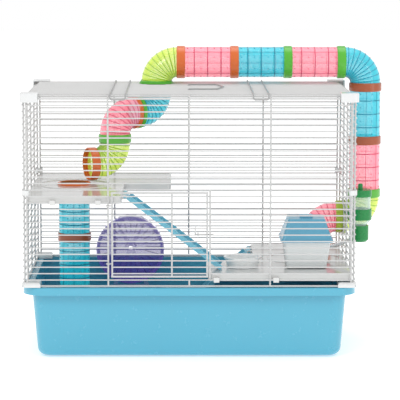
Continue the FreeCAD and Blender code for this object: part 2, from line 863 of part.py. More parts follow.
def ramp(top_z, landing_z, turned_round):
    """Ladder ramp with side rails and treads, hinged by a pin moulded on its upper end."""
    half = ramp_width / 2
    body_start = ramp_barrel / 2 - 1.0
    pieces = [Part.makeCylinder(ramp_barrel / 2, ramp_width, Vector(0, -half, 0), Y)]
    pin_half = half + ramp_side_gap + ramp_ear
    pieces.append(Part.makeCylinder(ramp_pin / 2, 2 * pin_half, Vector(0, -pin_half, 0), Y))
    pieces.append(box(Vector(body_start, -half, -ramp_plate / 2),
                      Vector(ramp_length, half, ramp_plate / 2)))
    rail_start = ramp_barrel
    for low_y in (-half, half - ramp_rail_width):
        pieces.append(box(Vector(rail_start, low_y, -ramp_plate / 2),
                          Vector(ramp_length, low_y + ramp_rail_width,
                                 ramp_rail_height - ramp_plate / 2)))
    tread_count = int((ramp_length - rail_start) / ramp_tread_pitch)
    for number in range(1, tread_count + 1):
        at = rail_start + number * ramp_tread_pitch - ramp_tread_width
        pieces.append(box(Vector(at, -half, 0),
                          Vector(at + ramp_tread_width, half, ramp_plate / 2 + ramp_tread_height)))
    solid = joined(pieces)
    solid.rotate(Vector(0, 0, 0), Y, ramp_angle(top_z, landing_z))
    solid.translate(Vector(ramp_pivot_x, ramp_mid_y, ramp_pivot_z(top_z)))
    if turned_round:
        solid.rotate(Vector(0, 0, 0), Z, 180)
    return solid


# ---- Tubes ----
def tube_body(length):
    """Straight tube with raised ribs, from Z 0 up."""
    outline = [(tube_inner_r, 0), (tube_r, 0)]
    for number in range(1, tube_ribs + 1):
        middle = length * number / (tube_ribs + 1)
        low = middle - tube_rib_width / 2
        high = middle + tube_rib_width / 2
        outline += [(tube_r, low), (tube_r + tube_rib, low), (tube_r + tube_rib, high), (tube_r, high)]
    outline += [(tube_r, length), (tube_inner_r, length)]
    return turned(outline)


def connector_ring(low, high):
    """Clip ring round two tube ends; low and high are its ends from the shoulder's middle."""
    bore = tube_r + ring_fit
    half = ring_shoulder / 2
    outline = [(bore, low), (ring_r - ring_bevel, low), (ring_r, low + ring_bevel),
               (ring_r, high - ring_bevel), (ring_r - ring_bevel, high), (bore, high)]
    shoulder_high = min(half, high)
    shoulder_low = max(-half, low)
    if high > half:
        outline += [(bore, shoulder_high)]
    outline += [(tube_inner_r, shoulder_high), (tube_inner_r, shoulder_low)]
    if low < -half:
        outline += [(bore, shoulder_low)]
    return turned(outline)


def wall_flange(lip_at):
    """Longer ring with a lip that rests on the wire hoop of a wall opening."""
    bore = tube_r + ring_fit
    half = ring_shoulder / 2
    end = ring_half + flange_extra
    lip_r = ring_r + flange_lip
    outline = [(bore, -ring_half), (ring_r - ring_bevel, -ring_half), (ring_r, -ring_half + ring_bevel),
               (ring_r, lip_at), (lip_r, lip_at), (lip_r, lip_at + flange_lip_height),
               (ring_r, lip_at + flange_lip_height), (ring_r, end - ring_bevel),
               (ring_r - ring_bevel, end), (bore + flange_flare, end), (bore + flange_flare, ring_half),
               (bore, ring_half), (bore, half), (tube_inner_r, half), (tube_inner_r, -half), (bore, -half)]
    return turned(outline)


tube_end_gap = ring_shoulder / 2 + ring_end_gap


def elbow_body():
    """Hollow quarter bend from +Z round to +X, with its straight ends."""
    stub = tube_stub - tube_end_gap
    annulus = []
    for middle, facing in ((Vector(0, 0, tube_end_gap), Z), (Vector(0, 0, tube_stub), Z),
                           (Vector(tube_bend, 0, elbow_corner), X)):
        discs = [Part.Face(Part.Wire([Part.makeCircle(radius, middle, facing)]))
                 for radius in (tube_r, tube_inner_r)]
        annulus.append(discs[0].cut(discs[1]).Faces[0])
    first = annulus[0].extrude(Z * stub)
    bend = annulus[1].revolve(Vector(tube_bend, 0, tube_stub), Y, 90)
    second = annulus[2].extrude(X * stub)
    return joined([first, bend, second])


elbow_shape = elbow_body()


class TubeRun:
    """Places rings, tubes and elbows end to end from a ring's middle."""

    def __init__(self, at, heading):
        self.at = at
        self.heading = heading

    def ring(self, name):
        parts[name] = placed(connector_ring(-ring_half, ring_half), self.at, self.heading)

    def paired_rings(self, near_name, far_name):
        gap = ring_end_gap / 2
        parts[near_name] = placed(connector_ring(-ring_half, -gap), self.at, self.heading)
        parts[far_name] = placed(connector_ring(gap, ring_half), self.at, self.heading)

    def straight(self, name):
        start = self.at + self.heading * tube_end_gap
        parts[name] = placed(tube_body(tube_pitch - 2 * tube_end_gap), start, self.heading)
        self.at = self.at + self.heading * tube_pitch

    def elbow(self, name, new_heading):
        shape = elbow_shape.copy()
        turn = Rotation(new_heading, self.heading.cross(new_heading), self.heading, "ZXY")
        shape.Placement = Placement(self.at, turn)
        parts[name] = shape
        self.at = self.at + (self.heading + new_heading) * elbow_corner
        self.heading = new_heading


def level_heading(swing_deg):
    """A level heading to the left, swung towards the front."""
    swing = math.radians(swing_deg)
    return Vector(-math.cos(swing), -math.sin(swing), 0)


def outside_tubes():
    """Tubes from the roof opening, along the top, and down to the side opening."""
    run = TubeRun(Vector(roof_hole_x, tube_line_y, roof_ring_z), Z)
    parts["roof_flange"] = placed(wall_flange(roof_top_z + hole_gap - roof_ring_z), run.at, Z)
    run.elbow("roof_elbow", X)
    run.ring("top_ring_1")
    run.straight("top_tube_1")
    run.ring("top_ring_2")
    run.straight("top_tube_2")
    run.ring("top_ring_3")
    run.straight("top_tube_3")
    run.ring("top_ring_4")
    run.elbow("corner_elbow", -Z)
    run.ring("side_ring_1")
    run.straight("side_tube_1")
    run.ring("side_ring_2")
    run.straight("side_tube_2")
    run.ring("side_ring_3")
    run.elbow("side_elbow", -X)
    lip_at = wall_x + wire_face + hole_gap - side_ring_x
    parts["side_flange"] = placed(wall_flange(lip_at), run.at, X)


def inside_tubes():
    """Tubes that hang from the roof opening, and the mouth inside the side opening."""
    run = TubeRun(Vector(roof_hole_x, tube_line_y, roof_ring_z), -Z)
    run.elbow("drop_elbow_1", level_heading(drop_swing_deg))
    run.paired_rings("drop_ring_1", "drop_ring_2")
    run.elbow("drop_elbow_2", -Z)
    run.ring("drop_ring_3")
    run.elbow("mouth_elbow", level_heading(mouth_swing_deg))
    run.ring("mouth_ring")
    side = TubeRun(Vector(side_ring_x, tube_line_y, side_hole_z), -X)
    side.elbow("side_mouth_elbow", -Z)
    side.ring("side_mouth_ring")


def column_tubes():
    """Upright tubes that hang from a collar seated in the upper shelf."""
    collar_z = upper_shelf_z - ring_seat_depth + wire_rest_gap + ring_half
    run = TubeRun(Vector(column_x, column_y, collar_z), -Z)
    parts["column_ring_1"] = placed(connector_ring(-ring_shoulder / 2, ring_half), run.at, run.heading)
    run.straight("column_tube_1")
    run.ring("column_ring_2")
    run.straight("column_tube_2")
    run.ring("column_ring_3")


# ---- Wheel ----
bracket_low_z = wheel_axle_z - bracket_leg_drop - bracket_bar / 2
tray_lean = tray_wall_lean / (tray_height - tray_foot_height)
tray_inside_y = tray_depth / 2 - tray_rim_width - tray_wall - tray_lean * (tray_height - bracket_low_z)
bracket_back_y = tray_inside_y - bracket_tray_gap
bracket_front_y = bracket_back_y - bracket_plate
wheel_back_y = bracket_front_y - bracket_gap
wheel_front_y = wheel_back_y - wheel_width


def exercise_wheel():
    """Open-fronted drum with a ribbed back disc and a hub, made along +Z from its back."""
    inner_back = wheel_back_radius - wheel_skin
    inner_front = wheel_radius - wheel_skin
    bore = spindle / 2 + spindle_fit
    hub_top = wheel_skin + wheel_hub_length
    outline = [(bore, 0), (wheel_back_radius, 0), (wheel_radius, wheel_width),
               (inner_front - wheel_lip, wheel_width), (inner_front - wheel_lip, wheel_width - wheel_skin),
               (inner_front, wheel_width - wheel_skin), (inner_back, wheel_skin),
               (wheel_hub_radius, wheel_skin), (wheel_hub_radius - 2, hub_top), (bore, hub_top)]
    drum = turned(outline)
    rib = box(Vector(wheel_rib_start, -wheel_rib_width / 2, wheel_skin / 2),
              Vector(inner_back - wheel_rib_end_gap, wheel_rib_width / 2, wheel_skin + wheel_rib_height))
    ribs = []
    for number in range(wheel_ribs):
        copy = rib.copy()
        copy.rotate(Vector(0, 0, 0), Z, 360.0 * number / wheel_ribs)
        ribs.append(copy)
    drum = joined([drum] + ribs)
    return placed(drum, Vector(wheel_x, wheel_back_y, wheel_axle_z), -Y)


def bar(start, end, width, y_low, y_high):
    """A flat bar with round ends in a plane that faces Y."""
    run = end - start
    across = Vector(run.z, 0, -run.x).normalize() * (width / 2)
    offset = Vector(0, y_low, 0)
    corners = [start + across, end + across, end - across, start - across, start + across]
    depth = y_high - y_low
    web = Part.Face(Part.makePolygon([corner + offset for corner in corners])).extrude(Y * depth)
    ends = [Part.makeCylinder(width / 2, depth, at + offset, Y) for at in (start, end)]
    return joined([web] + ends)


def wheel_bracket():
    """Bracket that hangs from a wall wire and leans on the tray, with arch, legs and spindle."""
    low_y = bracket_front_y
    high_y = bracket_back_y
    hub = Vector(wheel_x, 0, wheel_axle_z)
    arch_centre = hub + Z * bracket_arch_rise
    arch_mid_r = bracket_arch - bracket_arch_bar / 2
    ring_back = Part.makeCylinder(bracket_arch, bracket_plate, arch_centre + Y * low_y, Y)
    hole = Part.makeCylinder(bracket_arch - bracket_arch_bar, bracket_plate, arch_centre + Y * low_y, Y)
    arch = ring_back.cut(hole)
    below = box(arch_centre + Vector(-bracket_arch, low_y, -bracket_arch),
                arch_centre + Vector(bracket_arch, high_y, 0))
    arch = arch.cut(below)
    leg_low = -Z * bracket_leg_drop
    feet = [hub + leg_low + X * (side * bracket_leg_spread) for side in (-1, 1)]
    pieces = [arch]
    for side, foot in zip((-1, 1), feet):
        shoulder = arch_centre + X * (side * arch_mid_r)
        pieces.append(bar(shoulder, hub, bracket_bar, low_y, high_y))
        pieces.append(bar(hub, foot, bracket_bar, low_y, high_y))
    pieces.append(bar(feet[0], feet[1], bracket_bar, low_y, high_y))
    boss_front = wheel_back_y + spindle_fit
    pieces.append(Part.makeCylinder(wheel_hub_radius, high_y - boss_front - bracket_gap / 2,
                                    hub + Y * (boss_front + bracket_gap / 2), Y))
    tip_y = wheel_back_y - wheel_skin - wheel_hub_length - spindle_proud
    pieces.append(Part.makeCylinder(spindle / 2, high_y - tip_y, hub + Y * tip_y, Y))
    arch_top_z = wheel_axle_z + bracket_arch_rise + bracket_arch
    hook_row = int((arch_top_z - bottom_rail_z - bracket_bar) / row_pitch)
    pieces.append(wall_hook(wheel_x, high_y - 1.0, wall_y + row_out, row_z(hook_row)))
    return joined(pieces)


# ---- Hut ----
hut_base_z = lower_shelf_z + shelf_bead / 2 + lies_clear


def tapered(low_size, high_size, low, high, radius):
    """A tapering block with round upright corners over the hut's middle."""
    block = lofted(low_size, high_size, low, high, radius, radius)
    block.translate(Vector(hut_x, hut_y, hut_base_z))
    return block


def hut_body():
    """House walls that open upwards, widening to the eaves, with an arched way in."""
    inner_low = (hut_bottom[0] - 2 * hut_wall, hut_bottom[1] - 2 * hut_wall)
    inner_high = (hut_top[0] - 2 * hut_wall, hut_top[1] - 2 * hut_wall)
    walls = tapered(hut_bottom, hut_top, 0, hut_height, 6.0)
    walls = walls.cut(tapered(inner_low, inner_high, 0, hut_height, 6.0 - hut_wall))
    half = hut_door_width / 2
    arch_z = hut_base_z + hut_door_height - half
    way_in = box(Vector(hut_x - hut_top[0], hut_y - half, hut_base_z),
                 Vector(hut_x, hut_y + half, arch_z))
    arch = Part.makeCylinder(half, hut_top[0], Vector(hut_x - hut_top[0], hut_y, arch_z), X)
    return walls.cut(joined([way_in, arch]))


def hut_roof():
    """Hipped roof shell with an eaves band, a raised block and a rim that fits in the walls."""
    low = hut_height + roof_gap
    eave_top = low + roof_eave_height
    top = low + roof_height
    outer = joined([tapered(roof_eave, roof_eave, low, eave_top, 8.0),
                    tapered((roof_eave[0] - 4, roof_eave[1] - 4), roof_ridge, eave_top, top, 6.0)])
    block_low = tapered(chimney_size, chimney_size, top - 2, top + chimney_height, 2.0)
    inner_low = (hut_top[0] - 2 * (hut_wall + roof_gap), hut_top[1] - 2 * (hut_wall + roof_gap))
    inner = (inner_low[0] - 2 * hut_wall, inner_low[1] - 2 * hut_wall)
    shrink = 2 * hut_wall + 4
    hollow = tapered(inner, (roof_ridge[0] - shrink, roof_ridge[1] - shrink), low, top - hut_wall, 4.0)
    plug = tapered((inner_low[0] - 1, inner_low[1] - 1), inner_low, low - roof_plug, low, 4.0)
    plug = plug.cut(tapered(inner, inner, low - roof_plug, low, 3.0))
    return joined([outer.cut(hollow), plug, block_low])


# ---- Bowl ----
def food_bowl():
    """Round dish with a rolled rim."""
    rim_r = bowl_outer / 2
    base_r = bowl_base / 2
    outline = [(0, 0), (base_r, 0), (rim_r - 2.5, bowl_height - 3), (rim_r, bowl_height - 3),
               (rim_r, bowl_height), (rim_r - 2.5 - bowl_wall, bowl_height),
               (base_r - bowl_wall, bowl_wall + 1), (0, bowl_wall + 1)]
    return placed(turned(outline), Vector(bowl_x, bowl_y, lower_shelf_z + lies_clear), Z)


# ---- Water bottle ----
bottle_x = wall_x + wire_face + bottle_wall_gap + bottle_radius + band_thickness
bottle_low_z = bottle_top_z - bottle_body_length
spout_slope = math.radians(spout_slope_deg)
spout_heading = Vector(-math.cos(spout_slope), 0, -math.sin(spout_slope))
spout_cross = Vector(wall_x + row_out, bottle_y, row_z(spout_row) + row_gap_middle)
spout_start = spout_cross - spout_heading * (bottle_radius * 0.9)
spout_tip = spout_start + spout_heading * spout_length


def bottle_body():
    """Clear bottle, thin-walled, neck down."""
    neck_r = bottle_radius * 0.62
    shoulder = 8.0
    inner = bottle_radius - bottle_wall
    neck_low = bottle_low_z - 8.0
    outline = [(neck_r, neck_low), (neck_r, bottle_low_z), (bottle_radius, bottle_low_z + shoulder),
               (bottle_radius, bottle_top_z), (inner, bottle_top_z), (inner, bottle_low_z + shoulder),
               (neck_r - bottle_wall, bottle_low_z), (neck_r - bottle_wall, neck_low)]
    return placed(turned(outline), Vector(bottle_x, bottle_y, 0), Z)


def bottle_top_cap():
    """Push-on cap with a round knob that closes the bottle's upper end."""
    skirt_r = bottle_radius + neck_cap_gap + neck_cap_wall
    low = bottle_top_z - top_cap_height + neck_cap_wall
    top = bottle_top_z + neck_cap_gap + neck_cap_wall
    outline = [(bottle_radius + neck_cap_gap, low), (skirt_r, low), (skirt_r, top - 1), (skirt_r - 1, top),
               (knob_radius, top), (knob_radius, top + knob_height - 2),
               (knob_radius - 2, top + knob_height), (0, top + knob_height),
               (0, bottle_top_z + neck_cap_gap), (bottle_radius + neck_cap_gap, bottle_top_z + neck_cap_gap)]
    return placed(turned(outline), Vector(bottle_x, bottle_y, 0), Z)


def bottle_neck_cap():
    """Screw cap on the bottle's neck, with a slanting socket for the spout."""
    outer = bottle_radius * 0.84
    neck_bore = bottle_radius * 0.62 + neck_cap_gap
    high = bottle_low_z - neck_cap_gap
    low = high - neck_cap_height
    floor = bottle_low_z - 8.0 - neck_cap_gap
    outline = [(0, low), (outer - 4, low), (outer, low + 4), (outer, high), (neck_bore, high),
               (neck_bore, floor), (0, floor)]
    cap = placed(turned(outline), Vector(bottle_x, bottle_y, 0), Z)
    socket_r = bottle_spout / 2 + spout_socket_wall
    socket = Part.makeCylinder(socket_r, spout_socket_length, spout_start, spout_heading)
    bore = Part.makeCylinder(bottle_spout / 2 + 0.05, 60.0, spout_start + spout_heading * 2, spout_heading)
    return joined([cap, socket]).cut(bore)


def bottle_spout_tube():
    """Steel spout, necked in at its tip to keep the ball."""
    outer = bottle_spout / 2
    inner = outer - spout_wall
    neck = spout_tip_bore / 2
    length = spout_length - 2
    outline = [(outer, 0), (outer, length - spout_tip_length), (neck + spout_wall, length),
               (neck, length), (inner, length - spout_tip_length), (inner, 0)]
    return placed(turned(outline), spout_start + spout_heading * 2, spout_heading)


def bottle_ball():
    """Steel ball that the animal's tongue pushes up to let water past."""
    inner = bottle_spout / 2 - spout_wall
    neck = spout_tip_bore / 2
    lean = math.atan2(inner - neck, spout_tip_length)
    back_from_tip = (ball_diameter / 2 - neck * math.cos(lean)) / math.sin(lean)
    centre = spout_tip - spout_heading * (back_from_tip + 0.1)
    return Part.makeSphere(ball_diameter / 2, centre)


def bottle_holder():
    """Band round the bottle with a back plate and two prongs between the wall wires."""
    inner = bottle_radius + hook_gap
    outer = inner + band_thickness
    band_z = row_z(band_row) - band_height / 2
    low = Vector(bottle_x, bottle_y, band_z)
    band = Part.makeCylinder(outer, band_height, low, Z).cut(Part.makeCylinder(inner, band_height, low, Z))
    plate_x = wall_x + wire_face + hook_gap
    plate = box(Vector(plate_x, bottle_y - 10, band_z), Vector(bottle_x - inner + 0.5, bottle_y + 10,
                                                              band_z + band_height))
    keep = plate.cut(Part.makeCylinder(inner, band_height, low, Z))
    prong_low = row_z(band_row) + row_r + lies_clear
    prongs = []
    for side in (-6.0, 6.0):
        prongs.append(box(Vector(wall_x - 3, bottle_y + side - 1.5, prong_low),
                          Vector(plate_x + 2, bottle_y + side + 1.5, prong_low + 2.5)))
    return joined([band, keep] + prongs)


# ---- Build and write ----
parts["base_tray"] = base_tray()
parts["front_panel"] = front_panel()
parts["back_panel"] = back_panel()
parts["left_panel"] = left_panel()
parts["right_panel"] = right_panel()
parts["roof_panel"] = roof_panel()
parts["front_door"] = front_door()
parts["door_latch"] = door_latch()
parts["carry_handle"] = carry_handle()
parts["roof_clasp_left"] = roof_clasp(-1)
parts["roof_clasp_right"] = roof_clasp(1)
parts["corner_caps"] = corner_caps()
parts["wall_clips"] = wall_clips()
parts["corner_feet"] = corner_feet()
parts["upper_shelf"] = shelf(upper_shelf_z, upper_shelf_row, True, False)
parts["lower_shelf"] = shelf(lower_shelf_z, lower_shelf_row, False, True)
parts["upper_ramp"] = ramp(upper_shelf_z, lower_shelf_z, False)
parts["lower_ramp"] = ramp(lower_shelf_z, tray_floor_z, True)
outside_tubes()
inside_tubes()
column_tubes()
parts["exercise_wheel"] = exercise_wheel()
parts["wheel_bracket"] = wheel_bracket()
parts["hut_body"] = hut_body()
parts["hut_roof"] = hut_roof()
parts["food_bowl"] = food_bowl()
parts["bottle_body"] = bottle_body()
parts["bottle_top_cap"] = bottle_top_cap()
parts["bottle_neck_cap"] = bottle_neck_cap()
parts["bottle_spout"] = bottle_spout_tube()
parts["bottle_ball"] = bottle_ball()
parts["bottle_holder"] = bottle_holder()

os.makedirs("parts", exist_ok=True)
for name, shape in parts.items():
    shape.exportStep("parts/" + name + ".step")
print(len(parts), "parts written")
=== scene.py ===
import math

import bpy
from mathutils import Matrix, Vector


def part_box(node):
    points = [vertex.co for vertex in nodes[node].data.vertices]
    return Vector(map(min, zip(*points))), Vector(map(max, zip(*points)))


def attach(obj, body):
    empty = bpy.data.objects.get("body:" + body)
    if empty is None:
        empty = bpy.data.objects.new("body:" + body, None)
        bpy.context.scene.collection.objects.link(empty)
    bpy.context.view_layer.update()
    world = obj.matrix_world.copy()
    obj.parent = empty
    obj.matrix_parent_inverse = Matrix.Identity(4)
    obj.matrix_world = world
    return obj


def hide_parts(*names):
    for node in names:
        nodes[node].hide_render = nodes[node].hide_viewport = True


# A hamster cage: wire walls on a blue tray, tinted crawling tubes, shelves, a wheel and a hut.
# Metres throughout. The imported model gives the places; this file gives the finish and fine detail.

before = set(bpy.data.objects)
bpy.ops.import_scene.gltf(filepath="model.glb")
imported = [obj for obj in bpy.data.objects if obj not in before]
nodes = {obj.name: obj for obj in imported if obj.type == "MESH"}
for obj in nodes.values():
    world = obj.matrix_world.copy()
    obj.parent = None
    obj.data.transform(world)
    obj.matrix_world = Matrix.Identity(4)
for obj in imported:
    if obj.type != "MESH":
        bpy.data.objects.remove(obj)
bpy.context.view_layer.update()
mm = 0.001

# ---- Numbers that are used by name ----
camera_place = (-0.0115, -3.6892, 0.7477)
camera_tilt_down_deg = 7.636
camera_lens = 182.1
camera_sensor = 36
camera_shift = (0.0432, 0.0128)
camera_sees_to = 50
floor_reach = 12
floor_below_part = 0.0002
floor_color = (0.93, 0.93, 0.93, 1)
floor_roughness = 0.85
floor_glow = 0.42
surround_as_light = 0.80
surround_as_seen = 1.0
rim_falloff = 0.35
sharp_edge_deg = 40


# ---- Camera, floor and light ----
def set_camera():
    """Level product-shot view from the front, a little above the roof."""
    camera = bpy.data.objects.new("camera", bpy.data.cameras.new("camera"))
    bpy.context.scene.collection.objects.link(camera)
    camera.location = camera_place
    camera.rotation_euler = (math.radians(90 - camera_tilt_down_deg), 0, 0)
    camera.data.lens = camera_lens
    camera.data.sensor_width = camera_sensor
    camera.data.shift_x, camera.data.shift_y = camera_shift
    camera.data.clip_end = camera_sees_to
    bpy.context.scene.camera = camera
    bpy.context.scene.view_settings.view_transform = "Standard"


def soft_light(name, place, aim, size, power):
    """A square soft box."""
    light = bpy.data.lights.new(name, "AREA")
    light.shape = "RECTANGLE"
    light.size = size[0]
    light.size_y = size[1]
    light.energy = power
    box = bpy.data.objects.new(name, light)
    box.location = place
    box.rotation_euler = (Vector(aim) - Vector(place)).to_track_quat("-Z", "Y").to_euler()
    bpy.context.scene.collection.objects.link(box)


def set_studio():
    """Pale floor that runs into a pale surround."""
    floor_mesh = bpy.data.meshes.new("floor")
    corners = [(-floor_reach, -floor_reach, 0), (floor_reach, -floor_reach, 0),
               (floor_reach, floor_reach, 0), (-floor_reach, floor_reach, 0)]
    floor_mesh.from_pydata(corners, [], [(0, 1, 2, 3)])
    floor = bpy.data.objects.new("floor", floor_mesh)
    floor.location.z = -floor_below_part
    bpy.context.scene.collection.objects.link(floor)
    paper = bpy.data.materials.new("studio_paper")
    paper.use_nodes = True
    shader = paper.node_tree.nodes["Principled BSDF"]
    shader.inputs["Base Color"].default_value = floor_color
    shader.inputs["Roughness"].default_value = floor_roughness
    shader.inputs["Emission Color"].default_value = (1, 1, 1, 1)
    shader.inputs["Emission Strength"].default_value = floor_glow
    floor_mesh.materials.append(paper)
    world = bpy.data.worlds.new("surround")
    world.use_nodes = True
    wires = Wiring(world.node_tree)
    back = world.node_tree.nodes["Background"]
    back.inputs["Color"].default_value = (1, 1, 1, 1)
    path = wires.add("ShaderNodeLightPath")
    strength = wires.add("ShaderNodeMapRange")
    strength.inputs["To Min"].default_value = surround_as_light
    strength.inputs["To Max"].default_value = surround_as_seen
    wires.link(path.outputs["Is Camera Ray"], strength.inputs["Value"])
    wires.link(strength.outputs["Result"], back.inputs["Strength"])
    bpy.context.scene.world = world
    soft_light("key", (-1.5, -2.4, 2.3), (0, 0, 0.25), (1.0, 1.0), 20)
    soft_light("fill", (2.4, -1.6, 1.0), (0, 0, 0.25), (1.0, 1.6), 8)
    soft_light("top", (0.1, 0.5, 2.2), (0, 0, 0.3), (1.8, 1.2), 10)


# ---- Materials ----
class Wiring:
    """Short names for building a node tree."""

    def __init__(self, tree):
        self.tree = tree

    def add(self, kind, **settings):
        node = self.tree.nodes.new(kind)
        for key, value in settings.items():
            setattr(node, key, value)
        return node

    def link(self, start, end):
        self.tree.links.new(start, end)


def group_of(name, inputs, outputs):
    """An empty shader node group with float or colour sockets."""
    group = bpy.data.node_groups.new(name, "ShaderNodeTree")
    for label, kind, value in inputs:
        socket = group.interface.new_socket(name=label, in_out="INPUT", socket_type=kind)
        if value is not None:
            socket.default_value = value
    for label, kind in outputs:
        group.interface.new_socket(name=label, in_out="OUTPUT", socket_type=kind)
    wires = Wiring(group)
    return group, wires, wires.add("NodeGroupInput"), wires.add("NodeGroupOutput")


def make_handling_wear():
    """Fine scuffs, faint dust and slight tone drift, for moulded and coated surfaces."""
    group, wires, given, out = group_of(
        "handling_wear",
        [("Base Color", "NodeSocketColor", (0.8, 0.8, 0.8, 1)), ("Tone Drift", "NodeSocketFloat", 0.06),
         ("Scuff Scale", "NodeSocketFloat", 60.0), ("Roughness", "NodeSocketFloat", 0.25),
         ("Scuff Amount", "NodeSocketFloat", 0.12), ("Bump", "NodeSocketFloat", 0.02)],
        [("Color", "NodeSocketColor"), ("Roughness", "NodeSocketFloat"), ("Normal", "NodeSocketVector")])
    place = wires.add("ShaderNodeTexCoord")
    cloud = wires.add("ShaderNodeTexNoise")
    cloud.inputs["Scale"].default_value = 7.0
    cloud.inputs["Detail"].default_value = 3.0
    scuff = wires.add("ShaderNodeTexNoise")
    scuff.inputs["Detail"].default_value = 6.0
    scuff.inputs["Roughness"].default_value = 0.7
    wires.link(place.outputs["Object"], cloud.inputs["Vector"])
    wires.link(place.outputs["Object"], scuff.inputs["Vector"])
    wires.link(given.outputs["Scuff Scale"], scuff.inputs["Scale"])
    centred = wires.add("ShaderNodeMath", operation="SUBTRACT")
    wires.link(cloud.outputs["Fac"], centred.inputs[0])
    centred.inputs[1].default_value = 0.5
    drift = wires.add("ShaderNodeMath", operation="MULTIPLY_ADD")
    wires.link(centred.outputs[0], drift.inputs[0])
    wires.link(given.outputs["Tone Drift"], drift.inputs[1])
    drift.inputs[2].default_value = 1.0
    tone = wires.add("ShaderNodeHueSaturation")
    wires.link(given.outputs["Base Color"], tone.inputs["Color"])
    wires.link(drift.outputs[0], tone.inputs["Value"])
    wires.link(tone.outputs["Color"], out.inputs["Color"])
    marks = wires.add("ShaderNodeMapRange")
    wires.link(scuff.outputs["Fac"], marks.inputs["Value"])
    marks.inputs["From Min"].default_value = 0.45
    marks.inputs["From Max"].default_value = 0.75
    rough = wires.add("ShaderNodeMath", operation="MULTIPLY_ADD")
    wires.link(marks.outputs["Result"], rough.inputs[0])
    wires.link(given.outputs["Scuff Amount"], rough.inputs[1])
    wires.link(given.outputs["Roughness"], rough.inputs[2])
    wires.link(rough.outputs[0], out.inputs["Roughness"])
    bump = wires.add("ShaderNodeBump")
    bump.inputs["Distance"].default_value = 0.0004
    wires.link(given.outputs["Bump"], bump.inputs["Strength"])
    wires.link(scuff.outputs["Fac"], bump.inputs["Height"])
    wires.link(bump.outputs["Normal"], out.inputs["Normal"])
    return group


wear = make_handling_wear()


def material(name, color, roughness=0.25, drift=0.06, scale=60.0, scuff=0.12, bump=0.05, **shader_values):
    """A Principled material whose colour, roughness and bump come from the handling wear."""
    made = bpy.data.materials.new(name)
    made.use_nodes = True
    wires = Wiring(made.node_tree)
    shader = made.node_tree.nodes["Principled BSDF"]
    node = wires.add("ShaderNodeGroup", node_tree=wear)
    node.inputs["Base Color"].default_value = (*color, 1)
    node.inputs["Tone Drift"].default_value = drift
    node.inputs["Scuff Scale"].default_value = scale
    node.inputs["Roughness"].default_value = roughness
    node.inputs["Scuff Amount"].default_value = scuff
    node.inputs["Bump"].default_value = bump
    wires.link(node.outputs["Color"], shader.inputs["Base Color"])
    wires.link(node.outputs["Roughness"], shader.inputs["Roughness"])
    wires.link(node.outputs["Normal"], shader.inputs["Normal"])
    for key, value in shader_values.items():
        shader.inputs[key.replace("_", " ")].default_value = value
    return made


def tinted(name, color, clear, rim, painted_glow=0.25, **more):
    """See-through moulded plastic, which looks denser where the wall turns edge-on. It carries a painted
    glow: a weak emission in its own colour stands in for light shining through the plastic.
    """
    # The emission set here is painted glow, light shining through the plastic painted into its surface.
    made = material(name, color, roughness=0.1, drift=0.05, scale=40.0, scuff=0.08, bump=0.04,
                    Coat_Weight=0.6, Emission_Color=(*color, 1), Emission_Strength=painted_glow, **more)
    wires = Wiring(made.node_tree)
    shader = made.node_tree.nodes["Principled BSDF"]
    facing = wires.add("ShaderNodeLayerWeight")
    facing.inputs["Blend"].default_value = rim_falloff
    solid = wires.add("ShaderNodeMapRange")
    solid.inputs["To Min"].default_value = clear
    solid.inputs["To Max"].default_value = rim
    wires.link(facing.outputs["Facing"], solid.inputs["Value"])
    wires.link(solid.outputs["Result"], shader.inputs["Alpha"])
    return made


wire_paint = material("white_wire_coating", (0.60, 0.60, 0.595), roughness=0.35, drift=0.08, scale=90.0,
                      scuff=0.2, bump=0.15)
white_plastic = material("white_moulding", (0.74, 0.75, 0.75), roughness=0.22, drift=0.05, Coat_Weight=0.3)
shelf_plastic = material("glossy_shelf_moulding", (0.66, 0.66, 0.65), roughness=0.1, drift=0.04, scuff=0.1,
                         Coat_Weight=0.5)
grey_wire = material("bare_grey_wire", (0.36, 0.36, 0.36), roughness=0.3, drift=0.08, scale=90.0,
                     scuff=0.2, bump=0.1)
tray_plastic = material("sky_blue_tray_moulding", (0.085, 0.415, 0.57), roughness=0.22, drift=0.05,
                        scale=50.0, scuff=0.1, bump=0.03, Coat_Weight=0.4)
ramp_plastic = material("teal_ramp_moulding", (0.17, 0.50, 0.64), roughness=0.3, drift=0.06)
hut_wall_plastic = material("pale_hut_moulding", (0.72, 0.75, 0.75), roughness=0.28, drift=0.05,
                            Coat_Weight=0.2)
hut_roof_plastic = material("blue_roof_moulding", (0.12, 0.38, 0.54), roughness=0.28, drift=0.06,
                            Coat_Weight=0.2)
bowl_plastic = material("white_bowl_moulding", (0.82, 0.84, 0.84), roughness=0.2, drift=0.04, Coat_Weight=0.3)
bottle_green = material("green_bottle_fitting", (0.004, 0.24, 0.05), roughness=0.25, drift=0.08)
orange_ring = material("orange_ring_moulding", (0.70, 0.14, 0.02), roughness=0.2, drift=0.08, Coat_Weight=0.3)
# Painted shade: a darker copy of the orange ring colour, for orange rings that look darker where they sit in
# shade.
shaded_orange_ring = material("painted_shade_orange_ring", (0.36, 0.075, 0.02), roughness=0.2, drift=0.08,
                      Coat_Weight=0.3)
green_ring = material("green_ring_moulding", (0.09, 0.46, 0.03), roughness=0.2, drift=0.08, Coat_Weight=0.3)
olive_ring = material("yellow_green_ring_moulding", (0.42, 0.55, 0.05), roughness=0.2, drift=0.08,
                      Coat_Weight=0.3)
steel = material("polished_steel", (0.62, 0.63, 0.64), roughness=0.12, drift=0.05, scale=200.0, scuff=0.1,
                 bump=0.03, Metallic=1.0)
clear_bottle = tinted("clear_bottle_wall", (0.55, 0.68, 0.62), 0.16, 0.8)
pink_tube = tinted("pink_tube_wall", (1.0, 0.33, 0.42), 0.36, 0.9)
blue_tube = tinted("blue_tube_wall", (0.03, 0.60, 0.72), 0.40, 0.95)
lime_tube = tinted("lime_tube_wall", (0.66, 0.83, 0.10), 0.34, 0.9)
